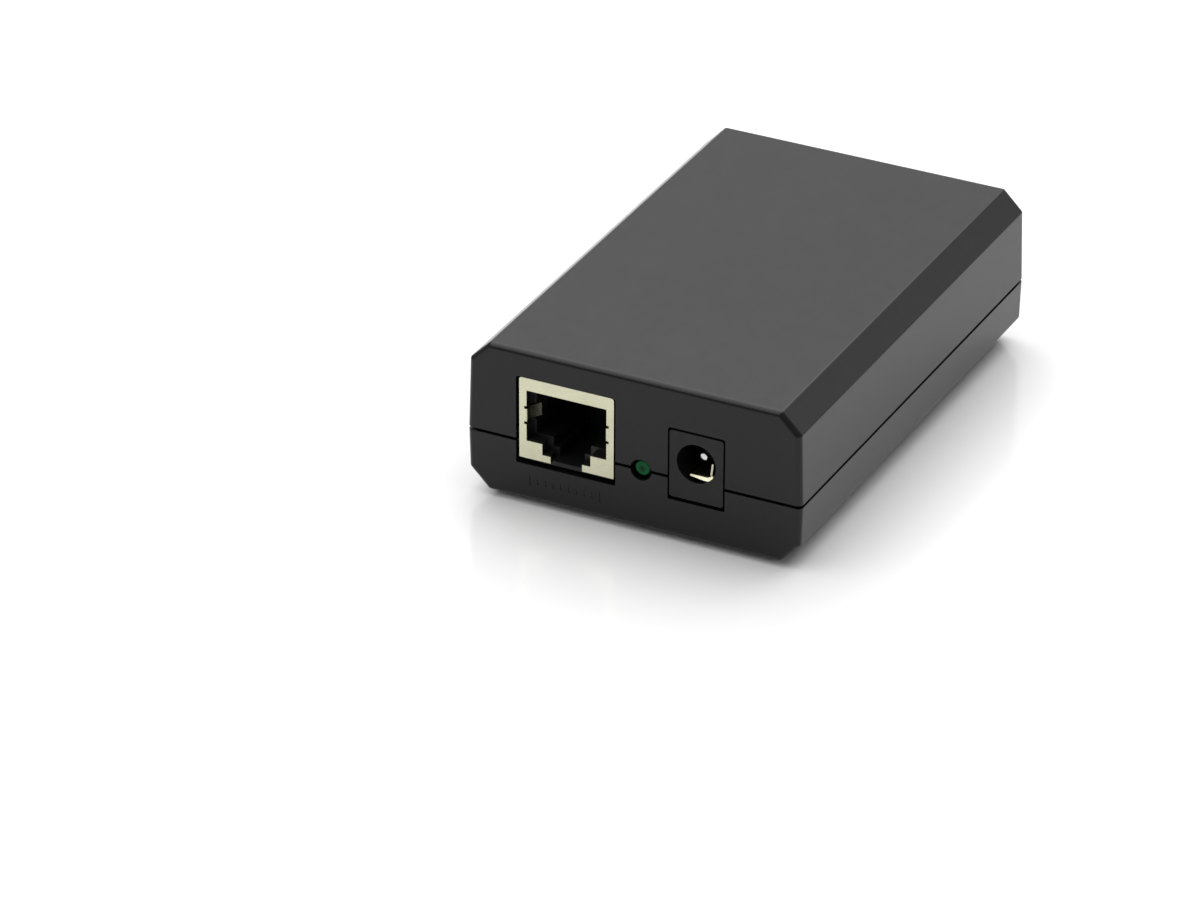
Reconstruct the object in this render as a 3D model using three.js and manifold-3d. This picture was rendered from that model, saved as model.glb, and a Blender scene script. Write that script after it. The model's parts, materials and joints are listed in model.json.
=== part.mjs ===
// A power-over-Ethernet injector: a small black two-part plastic case around a circuit board.
// The front end holds a shielded network socket, a status light and a DC power socket, and the
// rear end holds a second network socket. Millimetres, +Z up, front towards -Y. The origin is
// the centre of the footprint, on the surface that the rubber feet stand on.
import * as THREE from "three";
import { mergeVertices } from "three/addons/utils/BufferGeometryUtils.js";
import Module from "manifold-3d";

const wasm = await Module();
wasm.setup();

// ---------------------------------------------------------------- driving dimensions

const CASE = {
  width: 55.5, // across the parting line
  length: 82.8,
  height: 25.2,
  wall: 1.8,
  chamfer: 3.3, // leg of the flat along each of the four long edges
  topDraft: 0.35, // how far each side leans in above the parting line
  bottomDraft: 0.2, // and below it
  parting: 10, // height of the parting line above the underside
  partingGap: 0.5,
  endRadius: 0.9, // round-over of the two end faces
};
const TONGUE = { inset: 1.1, rise: 1.2, clearance: 0.15 };
const FOOT = { radius: 4, proud: 0.8, seat: 1, x: 17.5, y: 25 };
const SCREW = { x: 22, y: 34.5, shank: 1, length: 10, head: 1.9, headHeight: 1.5, counterbore: 3 };
const BOSS = { radius: 2.3, pilot: 1.25, standoff: 2.8, clearance: 1.3 };
const BOARD = { halfWidth: 24.6, halfLength: 39, thickness: 1.6, top: 6.55 };

// The network socket, in its own frame: X across, +Y into the case, Z up from the board.
const JACK = {
  x: -11.13,
  width: 15.8,
  depth: 21.3,
  height: 13.6,
  standoff: 0.5, // the shield's lower edge above the board
  sheet: 0.3,
  recess: 0.3, // the shield's face behind the case's end face
  bodyGap: 0.2, // between the shield and the moulding inside it
};
// Openings as [half width, top] steps, with heights from the shield's lower edge.
const SHIELD_MOUTH = [
  [2.63, 1.15],
  [4.02, 3],
  [6.66, 11.5],
];
const PLUG_CAVITY = {
  floor: 0.4,
  depth: 14.5,
  latchDepth: 12.5,
  flare: 2, // how deep the cavity is as wide as the shield's mouth
};
const CAVITY_STEPS = [
  [2.1, 2],
  [3.15, 3.6],
  [6, 10.4],
];
const FINGER = {
  low: 6.2,
  high: 8.35,
  thickness: 0.2,
  slit: 0.45,
  slitLength: 0.45,
  straight: 1.45, // how far it runs straight back
  lean: 1, // how far it reaches in from the mouth's side
  nip: 2.93, // how deep it does so
  end: 3.8,
};
const PEG = { x: 5.7, y: 8.9, radius: 1.5, length: 2.2 };
const SHIELD_TAB = { y: 11.3, width: 1.3 };
const CARRIER = {
  armHalf: 4.6,
  legHalf: 5.1,
  front: 4.3,
  legFront: 17.2,
  back: 20.3,
  low: 12.45,
  high: 13.35,
};
const CONTACT = { count: 8, pitch: 1.02, width: 0.42, thickness: 0.3, groove: 0.64 };
const TAIL = { pitch: 1.27, width: 0.45, nearRow: 18, farRow: 19.6 };

// The power socket, in a frame of the same kind.
const POWER = {
  x: 10.55,
  width: 9,
  height: 11.6,
  axis: 6.65,
  bore: 3.2,
  boreDepth: 10.2,
  pin: 1,
  pinTip: 2.5, // the pin's tip behind the face
  flange: 3.4,
  depth: 13.4,
};
const SPRING = {
  thickness: 0.25,
  left: -1.6,
  corner: 1.65, // the leaf's right edge
  right: 2.15,
  front: 1.1,
  low: 3.5,
  lip: 0.57, // width of the front edge that is bent down
  rise: 0.5, // how much wider it is under the ear
  tilt: THREE.MathUtils.degToRad(48),
  ear: { front: 0.85, back: 2.6, foot: 4.05, notch: 4.9, top: 6.8, thickness: 0.3, lean: 0.11 },
};
const TERMINAL = { width: 3, y: 11.7, thickness: 0.5, top: 2.6 };
const SWITCH = { left: -3.6, right: -1, y: 10.7, width: 0.5, low: 2.6, thickness: 0.3 };
const LIGHT = {
  x: 1.43,
  radius: 1.5,
  flange: 1.9,
  length: 4.6,
  dome: 0.7,
  recess: 0.4, // the dome's tip behind the face
  lead: 0.5,
  leadX: 1.27,
  bend: 2.4, // how far behind the lens the leads turn down
};

const CUTOUT = {
  jackSide: 0.4,
  jackBelow: 0.9,
  jackAbove: 0.2,
  powerSide: 0.2,
  powerBelow: 0.3,
  powerAbove: 0.25,
  light: 1.72,
  lightDrop: 0.08, // its centre below the lens's axis
};
// The bars pressed into the face under the front network socket.
const MARK = { count: 8, pitch: 1.3, width: 0.4, height: 1.1, bracket: 1.9, depth: 0.15, z: 3.6 };

const UNDERSIDE = FOOT.proud;
const SEAM = UNDERSIDE + CASE.parting;
const END = CASE.length / 2;
const BOARD_TOP = UNDERSIDE + BOARD.top;
const CLEAR = 0.1; // between pieces that rest on each other
const THROUGH = 2; // how far a cutting tool runs past the faces it opens
const LEAD_DROP = 3; // how far leads reach below the board's top
const BOARD_CUT = [-BOARD.thickness - THROUGH, THROUGH]; // heights of a tool that holes the board

// ---------------------------------------------------------------- shapes

// A box from its three [low, high] ranges.
function block([x0, x1], [y0, y1], [z0, z1]) {
  return new THREE.BoxGeometry(x1 - x0, y1 - y0, z1 - z0).translate(
    (x0 + x1) / 2,
    (y0 + y1) / 2,
    (z0 + z1) / 2,
  );
}

// The range of a given width about a centre.
function about(centre, width) {
  return [centre - width / 2, centre + width / 2];
}

function uprightRod(radius, x, y, [z0, z1], sides = 12) {
  return new THREE.CylinderGeometry(radius, radius, z1 - z0, sides)
    .rotateX(Math.PI / 2)
    .translate(x, y, (z0 + z1) / 2);
}

function rodAlongY(radius, x, z, [y0, y1], sides = 32) {
  return new THREE.CylinderGeometry(radius, radius, y1 - y0, sides).translate(x, (y0 + y1) / 2, z);
}

function outline(points) {
  return new THREE.Shape(points.map(([a, b]) => new THREE.Vector2(a, b)));
}

// An outline in X and Z, extruded along Y with both ends rounded over by the radius.
function prismAlongY(shape, [y0, y1], radius = 0) {
  const options = {
    depth: y1 - y0 - 2 * radius,
    bevelEnabled: radius > 0,
    bevelThickness: radius,
    bevelSize: radius,
    bevelOffset: -radius,
    bevelSegments: 3,
  };
  return new THREE.ExtrudeGeometry(shape, options).rotateX(Math.PI / 2).translate(0, y1 - radius, 0);
}

// An outline in Y and Z, extruded along X.
function prismAlongX(shape, [x0, x1]) {
  const turn = new THREE.Matrix4().makeBasis(
    new THREE.Vector3(0, 1, 0),
    new THREE.Vector3(0, 0, 1),
    new THREE.Vector3(1, 0, 0),
  );
  const options = { depth: x1 - x0, bevelEnabled: false };
  return new THREE.ExtrudeGeometry(shape, options).applyMatrix4(turn).translate(x0, 0, 0);
}

// An outline in X and Y, extruded upwards.
function prismAlongZ(shape, [z0, z1]) {
  const options = { depth: z1 - z0, bevelEnabled: false };
  return new THREE.ExtrudeGeometry(shape, options).translate(0, 0, z0);
}

// A strip of even thickness along a centre-line, as a closed outline in the line's own plane.
function strip(line, thickness) {
  const points = line.map(([a, b]) => new THREE.Vector2(a, b));
  const offset = (side) =>
    points.map((point, i) => {
      const before = points[Math.max(i - 1, 0)];
      const after = points[Math.min(i + 1, points.length - 1)];
      const along = after.clone().sub(before).normalize();
      const normal = new THREE.Vector2(-along.y, along.x);
      return point.clone().addScaledVector(normal, (side * thickness) / 2);
    });
  return new THREE.Shape([...offset(1), ...offset(-1).reverse()]);
}

// A solid of revolution about Z from [radius, height] points that start and end on the axis.
function turned(profile, sides = 16) {
  const points = profile.map(([r, z]) => new THREE.Vector2(r, z));
  return new THREE.LatheGeometry(points, sides).rotateX(Math.PI / 2);
}

// ---------------------------------------------------------------- joining and cutting

function asSolid(geometry) {
  const bare = geometry.index ? geometry.toNonIndexed() : geometry.clone();
  bare.deleteAttribute("normal");
  bare.deleteAttribute("uv");
  const merged = mergeVertices(bare, 1e-4);
  const mesh = new wasm.Mesh({
    numProp: 3,
    vertProperties: merged.attributes.position.array,
    triVerts: new Uint32Array(merged.index.array),
  });
  return new wasm.Manifold(mesh);
}

function join(...geometries) {
  return geometries.map(asSolid).reduce((all, one) => all.add(one));
}

function cut(base, ...tools) {
  return tools.map(asSolid).reduce((left, tool) => left.subtract(tool), base);
}

function asGeometry(solid) {
  const { vertProperties, triVerts, numProp } = solid.getMesh();
  const position = new THREE.BufferAttribute(new Float32Array(vertProperties), numProp);
  const geometry = new THREE.BufferGeometry().setAttribute("position", position);
  geometry.setIndex(new THREE.BufferAttribute(new Uint32Array(triVerts), 1));
  geometry.computeVertexNormals();
  return geometry;
}

// ---------------------------------------------------------------- materials and meshes

function material(color, roughness, metalness = 0) {
  return new THREE.MeshStandardMaterial({ color, roughness, metalness, flatShading: true });
}

const MATERIALS = {
  caseBlack: material(0x1c1c1c, 0.55),
  socketBlack: material(0x141414, 0.45),
  nickel: material(0xcfcab4, 0.35, 1),
  gold: material(0xd9b45a, 0.3, 1),
  steel: material(0x8d8f92, 0.4, 1),
  rubber: material(0x202020, 0.9),
  board: material(0x1f5a36, 0.5),
  greenLens: material(0x1f7a3d, 0.2),
  tin: material(0xb9bcc0, 0.35, 1),
  chip: material(0x181818, 0.6),
  sleeve: material(0x24304a, 0.35),
  ferrite: material(0x3a3b3d, 0.7),
  copper: material(0xb5713c, 0.35, 1),
  ceramic: material(0xb08a5a, 0.6),
};

function mesh(name, shape, look) {
  const geometry = shape.isBufferGeometry ? shape : asGeometry(shape);
  const made = new THREE.Mesh(geometry, look);
  made.name = name;
  return made;
}

// ---------------------------------------------------------------- case

// The case's cross-section in X and Z, moved inwards by a distance.
function caseOutline(inset) {
  const leg = CASE.chamfer - inset * (2 - Math.SQRT2);
  const seam = CASE.width / 2 - inset;
  const low = seam - CASE.bottomDraft;
  const high = seam - CASE.topDraft;
  const bottom = UNDERSIDE + inset;
  const top = UNDERSIDE + CASE.height - inset;
  const right = [
    [low - leg, bottom],
    [low, bottom + leg],
    [seam, SEAM],
    [high, top - leg],
    [high - leg, top],
  ];
  const left = right.map(([x, z]) => [-x, z]).reverse();
  return outline([...right, ...left]);
}

function caseBody(inset, radius = 0) {
  return asSolid(prismAlongY(caseOutline(inset), [-END + inset, END - inset], radius));
}

// Everything between two heights, as a tool that keeps one layer of the case.
function layer(heights) {
  return asSolid(block(about(0, 2 * CASE.width), about(0, 2 * CASE.length), heights));
}

// The holes in the two end walls for the sockets and the light.
function endOpenings() {
  const front = [-END - THROUGH, -END + CASE.wall + THROUGH];
  const rear = [-front[1], -front[0]];
  const jackX = about(JACK.x, JACK.width + 2 * CUTOUT.jackSide);
  const jackBottom = BOARD_TOP + JACK.standoff;
  const jackZ = [jackBottom - CUTOUT.jackBelow, jackBottom + JACK.height + CUTOUT.jackAbove];
  const powerX = about(POWER.x, POWER.width + 2 * CUTOUT.powerSide);
  const powerZ = [BOARD_TOP - CUTOUT.powerBelow, BOARD_TOP + POWER.height + CUTOUT.powerAbove];
  return [
    block(jackX, front, jackZ),
    block(jackX, rear, jackZ),
    block(powerX, front, powerZ),
    rodAlongY(CUTOUT.light, LIGHT.x, SEAM - CUTOUT.lightDrop, front),
  ];
}

// Calls make(x, y) at the four corners of a rectangle about the origin.
function atCorners(x, y, make) {
  return [
    [-x, -y],
    [x, -y],
    [-x, y],
    [x, y],
  ].map(([cx, cy], i) => make(cx, cy, i + 1));
}

function topCover() {
  const ceiling = UNDERSIDE + CASE.height - CASE.wall;
  const above = layer([SEAM + CASE.partingGap / 2, UNDERSIDE + CASE.height + THROUGH]);
  const rebate = caseBody(TONGUE.inset - TONGUE.clearance).intersect(
    layer([SEAM - THROUGH, SEAM + TONGUE.rise + CASE.partingGap]),
  );
  const shell = caseBody(0, CASE.endRadius).intersect(above);
  const hollow = shell.subtract(caseBody(CASE.wall)).subtract(rebate);
  const bossZ = [BOARD_TOP + CLEAR, ceiling + CLEAR];
  const bosses = atCorners(SCREW.x, SCREW.y, (x, y) => uprightRod(BOSS.radius, x, y, bossZ));
  const pilotZ = [BOARD_TOP - THROUGH, BOARD_TOP + SCREW.length];
  const pilots = atCorners(SCREW.x, SCREW.y, (x, y) => uprightRod(BOSS.pilot, x, y, pilotZ));
  return cut(hollow.add(join(...bosses)), ...pilots, ...endOpenings());
}

// Eight bars between two taller ones: a plain sign for the eight-way socket above it.
function portMark() {
  const y = [-END - THROUGH, -END + MARK.depth];
  const z = UNDERSIDE + MARK.z;
  const bars = Array.from({ length: MARK.count }, (_, i) => {
    const x = JACK.x + (i - (MARK.count - 1) / 2) * MARK.pitch;
    return block(about(x, MARK.width), y, about(z, MARK.height));
  });
  const reach = ((MARK.count + 1) / 2) * MARK.pitch;
  const brackets = [-reach, reach].map((x) =>
    block(about(JACK.x + x, MARK.width), y, about(z, MARK.bracket)),
  );
  return [...bars, ...brackets];
}

function bottomCover() {
  const floor = UNDERSIDE + CASE.wall;
  const below = layer([-THROUGH, SEAM - CASE.partingGap / 2]);
  const tongue = caseBody(TONGUE.inset)
    .subtract(caseBody(CASE.wall))
    .intersect(layer([SEAM - THROUGH, SEAM + TONGUE.rise]));
  const shell = caseBody(0, CASE.endRadius).intersect(below).subtract(caseBody(CASE.wall));
  const boardUnderside = BOARD_TOP - BOARD.thickness;
  const standZ = [floor - CLEAR, boardUnderside - CLEAR];
  const stands = atCorners(SCREW.x, SCREW.y, (x, y) => uprightRod(BOSS.standoff, x, y, standZ));
  const rests = [-1, 1].map((side) =>
    block(about(side * (BOARD.halfWidth - 1.4), 1.6), about(0, 6), standZ),
  );
  const holes = atCorners(SCREW.x, SCREW.y, (x, y) =>
    uprightRod(BOSS.clearance, x, y, [-THROUGH, boardUnderside + THROUGH]),
  );
  const counterbore = [-THROUGH, UNDERSIDE + SCREW.counterbore];
  const counterbores = atCorners(SCREW.x, SCREW.y, (x, y) =>
    uprightRod(SCREW.head + 0.25, x, y, counterbore, 16),
  );
  const seatZ = [-THROUGH, UNDERSIDE + FOOT.seat];
  const seats = atCorners(FOOT.x, FOOT.y, (x, y) =>
    uprightRod(FOOT.radius + 0.2, x, y, seatZ, 24),
  );
  const body = shell.add(tongue).add(join(...stands, ...rests));
  return cut(body, ...holes, ...counterbores, ...seats, ...endOpenings(), ...portMark());
}

function caseScrew(x, y, i) {
  const seat = UNDERSIDE + SCREW.counterbore;
  const underHead = seat - CLEAR;
  const base = underHead - SCREW.headHeight;
  const tip = underHead + SCREW.length;
  const body = turned([
    [0, base],
    [SCREW.head * 0.8, base],
    [SCREW.head, base + 0.5],
    [SCREW.head, underHead],
    [SCREW.shank, underHead],
    [SCREW.shank, tip - 1.2],
    [0, tip],
  ]);
  const slotZ = [base - THROUGH, base + 0.8];
  const cross = cut(
    asSolid(body),
    block(about(0, 2), about(0, 0.5), slotZ),
    block(about(0, 0.5), about(0, 2), slotZ),
  );
  const made = mesh(`case_screw_${i}`, cross, MATERIALS.steel);
  made.position.set(x, y, 0);
  return made;
}

function rubberFoot(x, y, i) {
  const top = UNDERSIDE + FOOT.seat - CLEAR;
  const rim = 0.3; // the rounded lower edge
  const disc = turned(
    [
      [0, 0],
      [FOOT.radius - rim, 0],
      [FOOT.radius, rim],
      [FOOT.radius, top],
      [0, top],
    ],
    24,
  );
  const made = mesh(`rubber_foot_${i}`, disc, MATERIALS.rubber);
  made.position.set(x, y, 0);
  return made;
}

// ---------------------------------------------------------------- network socket

// A symmetrical stepped opening, widening upwards, as one closed outline in X and Z.
function steppedOutline(steps, from, lift) {
  const floors = [from, ...steps.map(([, top]) => top)];
  const right = steps.flatMap(([half, top], i) => [
    [half, floors[i] + lift],
    [half, top + lift],
  ]);
  const left = right.map(([x, z]) => [-x, z]).reverse();
  return outline([...right, ...left]);
}

// A grounding finger: bent in from the mouth's edge, back, inwards and out again.
function groundFinger([z0, z1]) {
  const side = SHIELD_MOUTH.at(-1)[0];
  const line = [
    [side + 0.02, 0.05],
    [side + 0.02, FINGER.straight],
    [side - FINGER.lean, FINGER.nip],
    [side - FINGER.lean + 0.3, FINGER.end],
  ];
  return prismAlongZ(strip(line, FINGER.thickness), [z0, z1]);
}

function jackShield() {
  const { width, depth, height, standoff, sheet } = JACK;
  const half = width / 2;
  const top = standoff + height;
  const shell = cut(
    asSolid(block([-half, half], [0, depth], [standoff, top])),
    block([-half + sheet, half - sheet], [sheet, depth - sheet], [standoff - THROUGH, top - sheet]),
  );
  const mouth = prismAlongY(steppedOutline(SHIELD_MOUTH, -THROUGH, standoff), [-THROUGH, sheet + CLEAR]);
  const fingerZ = [standoff + FINGER.low, standoff + FINGER.high];
  const right = groundFinger(fingerZ);
  const left = right.clone().rotateY(Math.PI).translate(0, 0, fingerZ[0] + fingerZ[1]);
  const mouthEdge = SHIELD_MOUTH.at(-1)[0] + FINGER.slitLength / 2 - CLEAR / 2;
  const slitZ = [fingerZ[0] - FINGER.slit / 2, fingerZ[1] + FINGER.slit / 2];
  const slits = slitZ.flatMap((z) =>
    [-mouthEdge, mouthEdge].map((x) =>
      block(about(x, FINGER.slitLength), [-THROUGH, sheet + CLEAR], about(z, FINGER.slit)),
    ),
  );
  const tabs = [-1, 1].map((side) =>
    block(
      about(side * (half - sheet / 2), sheet),
      about(SHIELD_TAB.y, SHIELD_TAB.width),
      [-LEAD_DROP, standoff + CLEAR],
    ),
  );
  return cut(shell, mouth, ...slits).add(join(right, left, ...tabs));
}

function jackHousing() {
  const { depth, height, standoff, sheet, bodyGap } = JACK;
  const half = JACK.width / 2 - sheet - bodyGap;
  const front = sheet + CLEAR;
  const back = depth - sheet - bodyGap;
  const top = standoff + height - sheet - bodyGap;
  const body = block([-half, half], [front, back], [CLEAR, top]);
  const pegs = [-1, 1].map((side) =>
    uprightRod(PEG.radius, side * PEG.x, PEG.y, [-PEG.length, 2 * CLEAR]),
  );
  const { floor, depth: plugDepth, latchDepth, flare } = PLUG_CAVITY;
  const wider = SHIELD_MOUTH.map(([halfStep, stepTop]) => [halfStep + CLEAR, stepTop + CLEAR]);
  const mouth = prismAlongY(steppedOutline(wider, floor, standoff), [-THROUGH, flare]);
  const cavity = CAVITY_STEPS.map(([halfStep, stepTop], i) => {
    const low = i ? CAVITY_STEPS[i - 1][1] : floor;
    const end = i === CAVITY_STEPS.length - 1 ? plugDepth : latchDepth;
    return block([-halfStep, halfStep], [-THROUGH, end], [standoff + low - CLEAR / 2, standoff + stepTop]);
  });
  const cavityTop = standoff + CAVITY_STEPS.at(-1)[1];
  const grooveFront = 2.6;
  const grooves = contactPlaces().map((x) =>
    block(about(x, CONTACT.groove), [grooveFront, plugDepth], [cavityTop - CLEAR, CARRIER.low]),
  );
  const channelZ = [CARRIER.low - 0.15, CARRIER.high + 0.15];
  const channel = block(about(0, 2 * CARRIER.armHalf + 0.6), [grooveFront, back + THROUGH], channelZ);
  const rearPocket = block(
    about(0, 2 * CARRIER.legHalf + 0.6),
    [CARRIER.legFront - 0.4, back + THROUGH],
    [-THROUGH, channelZ[1]],
  );
  const pocketZ = [standoff + FINGER.low - 0.3, standoff + FINGER.high + 0.3];
  const fingerPockets = [-1, 1].map((side) =>
    block(about(side * 6.9, 2), [-THROUGH, 5.2], pocketZ),
  );
  return cut(join(body, ...pegs), mouth, ...cavity, ...grooves, channel, rearPocket, ...fingerPockets);
}

// Where the eight contact wires lie across the socket.
function contactPlaces() {
  return Array.from(
    { length: CONTACT.count },
    (_, i) => (i - (CONTACT.count - 1) / 2) * CONTACT.pitch,
  );
}

// Where the eight solder tails go through the board: two staggered rows.
function tailPlaces() {
  return Array.from({ length: CONTACT.count }, (_, i) => [
    (i - (CONTACT.count - 1) / 2) * TAIL.pitch,
    i % 2 ? TAIL.nearRow : TAIL.farRow,
  ]);
}

// The moulded strip that the contact wires are set in, with their tails below it.
function jackCarrier() {
  const { armHalf, legHalf, front, legFront, back, low, high } = CARRIER;
  const arm = block([-armHalf, armHalf], [front, back], [low, high]);
  const leg = block([-legHalf, legHalf], [legFront, back], [2 * CLEAR, high]);
  const tails = tailPlaces().map(([x, y]) =>
    block(about(x, TAIL.width), about(y, TAIL.width), [-LEAD_DROP, 0.4]),
  );
  return join(arm, leg, ...tails);
}

// One contact beam: out of the carrier, round a tight bend and back down into the socket.
function contactBeam(x) {
  const line = [
    [4.1, 12.9],
    [3.6, 12.9],
    [3.25, 12.7],
    [3.15, 12.35],
    [3.4, 12],
    [10.4, 9.45],
    [11.2, 9.45],
    [12.4, 10],
  ];
  return prismAlongX(strip(line, CONTACT.thickness), about(x, CONTACT.width));
}

function networkJack(prefix) {
  const group = new THREE.Group();
  group.add(
    mesh(`${prefix}_shield`, jackShield(), MATERIALS.nickel),
    mesh(`${prefix}_housing`, jackHousing(), MATERIALS.socketBlack),
    mesh(`${prefix}_contact_carrier`, jackCarrier(), MATERIALS.socketBlack),
  );
  contactPlaces().forEach((x, i) => {
    group.add(mesh(`${prefix}_contact_${i + 1}`, contactBeam(x), MATERIALS.gold));
  });
  return group;
}

// The holes that one network socket needs in the board, in the socket's frame.
function jackBoardHoles() {
  const tabX = JACK.width / 2 - JACK.sheet / 2;
  return [
    ...tailPlaces().map(([x, y]) => uprightRod(0.5, x, y, BOARD_CUT, 6)),
    ...[-1, 1].map((side) => uprightRod(PEG.radius + 0.2, side * PEG.x, PEG.y, BOARD_CUT)),
    ...[-1, 1].map((side) =>
      block(about(side * tabX, 0.9), about(SHIELD_TAB.y, SHIELD_TAB.width + 0.6), BOARD_CUT),
    ),
  ];
}

// ---------------------------------------------------------------- power socket

function powerHousing() {
  const { width, height, axis, bore, boreDepth, pin, flange, depth } = POWER;
  const half = width / 2;
  const body = join(
    block([-half, half], [0, flange], [CLEAR, height]),
    block([-half, half], [flange - CLEAR, depth], [CLEAR, axis]),
    rodAlongY(half, 0, axis, [flange - CLEAR, depth]),
  );
  const slotFront = 0.4;
  const slotBack = 12.6;
  const slotFloor = 1.2;
  const { left, right, ear } = SPRING;
  return cut(
    body,
    rodAlongY(bore, 0, axis, [-THROUGH, boreDepth]),
    rodAlongY(pin + 0.25, 0, axis, [boreDepth - CLEAR, depth + THROUGH], 16),
    block([left - 0.2, right + 0.15], [slotFront, slotBack], [slotFloor, 4.4]),
    block([right - 0.4, right + 0.45], [slotFront, 5], [slotFloor, ear.top + 0.7]),
    block([left, -left], [10.6, slotBack], [-THROUGH, slotFloor + CLEAR]),
    block([SWITCH.left - 0.15, left - 0.15], [10.4, 11.5], [-THROUGH, SWITCH.low + 0.5]),
  );
}

function powerPin() {
  const { pin, pinTip, axis, depth } = POWER;
  const lug = [depth + 0.2, depth + 0.5];
  const rod = turned(
    [
      [0, -lug[1]],
      [pin, -lug[1]],
      [pin, -pinTip - 0.7],
      [pin * 0.85, -pinTip - 0.25],
      [pin * 0.5, -pinTip],
      [0, -pinTip],
    ],
    20,
  );
  rod.rotateX(Math.PI / 2).translate(0, 0, axis);
  return join(rod, block(about(0, 2.6), lug, [-LEAD_DROP, axis + 1.2]));
}

// The sprung leaf that presses on the plug's sleeve. Its front edge is bent down, and one side of
// it turns up into an ear.
function sleeveSpring() {
  const { thickness, left, corner, right, front, low, lip, rise, tilt, ear } = SPRING;
  const bend = [front + lip * Math.sin(tilt), low + lip * Math.cos(tilt)];
  const leaf = prismAlongX(strip([[11.4, 2.2], [3, 3.85], bend], thickness), [left, corner]);
  const lipShape = outline([
    [left, lip / 2],
    [0.8, 0],
    [right, 0],
    [right, lip + rise],
    [right - 0.2, lip + rise],
    [right - 0.9, lip],
    [left, lip],
  ]);
  const edge = prismAlongY(lipShape, about(0, thickness)).rotateX(-tilt).translate(0, front, low);
  const earShape = outline([
    [1.8, ear.foot],
    [ear.front, ear.notch],
    [ear.front, ear.top],
    [ear.back, ear.top],
    [ear.back, ear.foot],
  ]);
  const upright = prismAlongX(earShape, [right - ear.thickness, right]);
  const leaning = new THREE.Matrix4().makeShear(0, 0, 0, 0, ear.lean, 0);
  leaning.setPosition(-ear.lean * ear.foot, 0, 0);
  return join(leaf, edge, upright.applyMatrix4(leaning));
}

function sleeveTerminal() {
  const { width, y, thickness, top } = TERMINAL;
  return block(about(0, width), [y, y + thickness], [-LEAD_DROP, top]);
}

// The break contact that the leaf rests against until a plug pushes it down.
function switchContact() {
  const { left, right, y, width, low, thickness } = SWITCH;
  const top = low + thickness;
  const arm = block([left, right], [y, y + width], [low, top]);
  return join(arm, block([left, left + thickness], [y, y + width], [-LEAD_DROP, top]));
}

function powerJack() {
  const group = new THREE.Group();
  group.add(
    mesh("dc_jack_housing", powerHousing(), MATERIALS.socketBlack),
    mesh("dc_jack_centre_pin", powerPin(), MATERIALS.tin),
    mesh("dc_jack_sleeve_spring", sleeveSpring(), MATERIALS.nickel),
    mesh("dc_jack_sleeve_terminal", sleeveTerminal(), MATERIALS.tin),
    mesh("dc_jack_switch_contact", switchContact(), MATERIALS.tin),
  );
  return group;
}

function powerBoardHoles() {
  const lugY = POWER.depth + 0.35;
  const terminalY = TERMINAL.y + TERMINAL.thickness / 2;
  const switchX = SWITCH.left + SWITCH.thickness / 2;
  const switchY = SWITCH.y + SWITCH.width / 2;
  return [
    block(about(0, 3.2), about(lugY, 0.9), BOARD_CUT),
    block(about(0, TERMINAL.width + 0.6), about(terminalY, 1.1), BOARD_CUT),
    block(about(switchX, 0.9), about(switchY, 1.1), BOARD_CUT),
  ];
}

// ---------------------------------------------------------------- status light

// The lens, its dome towards -Y and its axis at the light's height above the board.
function lightLens() {
  const { radius, dome, flange, length } = LIGHT;
  const cap = [0, 22.5, 45, 67.5, 90].map((degrees) => {
    const angle = THREE.MathUtils.degToRad(degrees);
    return [radius * Math.sin(angle), -dome + dome * Math.cos(angle)];
  });
  const flangeFront = -length + 1;
  const base = [
    [radius, flangeFront],
    [flange, flangeFront],
    [flange, -length],
    [0, -length],
  ];
  return turned([...cap, ...base].reverse()).rotateX(Math.PI / 2);
}

function lightLead(x) {
  const { lead, length, bend } = LIGHT;
  const axis = CASE.parting - BOARD.top;
  const end = length + bend;
  return join(
    block(about(x, lead), [length + CLEAR, end], about(0, lead)),
    block(about(x, lead), [end - lead, end], [-axis - LEAD_DROP, lead / 2]),
  );
}

function statusLight() {
  const group = new THREE.Group();
  group.add(
    mesh("status_led", lightLens(), MATERIALS.greenLens),
    mesh("status_led_anode", lightLead(-LIGHT.leadX), MATERIALS.tin),
    mesh("status_led_cathode", lightLead(LIGHT.leadX), MATERIALS.tin),
  );
  return group;
}

function lightBoardHoles() {
  const y = LIGHT.length + LIGHT.bend - LIGHT.lead / 2;
  const z = [BOARD_CUT[0] - CASE.parting + BOARD.top, THROUGH];
  return [-1, 1].map((side) => uprightRod(0.55, side * LIGHT.leadX, y, z, 8));
}

// ---------------------------------------------------------------- board components

// Round wire leads at the given places across a component.
function wireLeads(places, top = 0.3) {
  return places.map((x) => uprightRod(0.3, x, 0, [-LEAD_DROP, top], 6));
}

// Round capacitor can with a rolled groove near its base and two wire leads.
function canCapacitor(radius, height, leads) {
  const can = turned([
    [0, CLEAR],
    [radius, CLEAR],
    [radius, 1.4],
    [radius - 0.4, 1.8],
    [radius, 2.2],
    [radius, height - 0.5],
    [radius - 0.5, height],
    [0, height],
  ]);
  return join(can, ...wireLeads(leads));
}

// A moulded package with gull-wing legs along its two long sides.
function gullWingPackage({ width, length, height, legs, pitch, legWidth, reach }) {
  const body = block(about(0, width), about(0, length), [0.25, height]);
  const half = width / 2;
  const sole = 2 * CLEAR;
  const line = [
    [half - 0.4, height / 2],
    [half + reach * 0.4, height / 2],
    [half + reach * 0.55, sole],
    [half + reach, sole],
  ];
  const wing = prismAlongY(strip(line, 0.2), about(0, legWidth));
  const sides = [wing, wing.clone().rotateZ(Math.PI)];
  const places = Array.from({ length: legs }, (_, i) => (i - (legs - 1) / 2) * pitch);
  return join(body, ...places.flatMap((y) => sides.map((side) => side.clone().translate(0, y, 0))));
}

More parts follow.
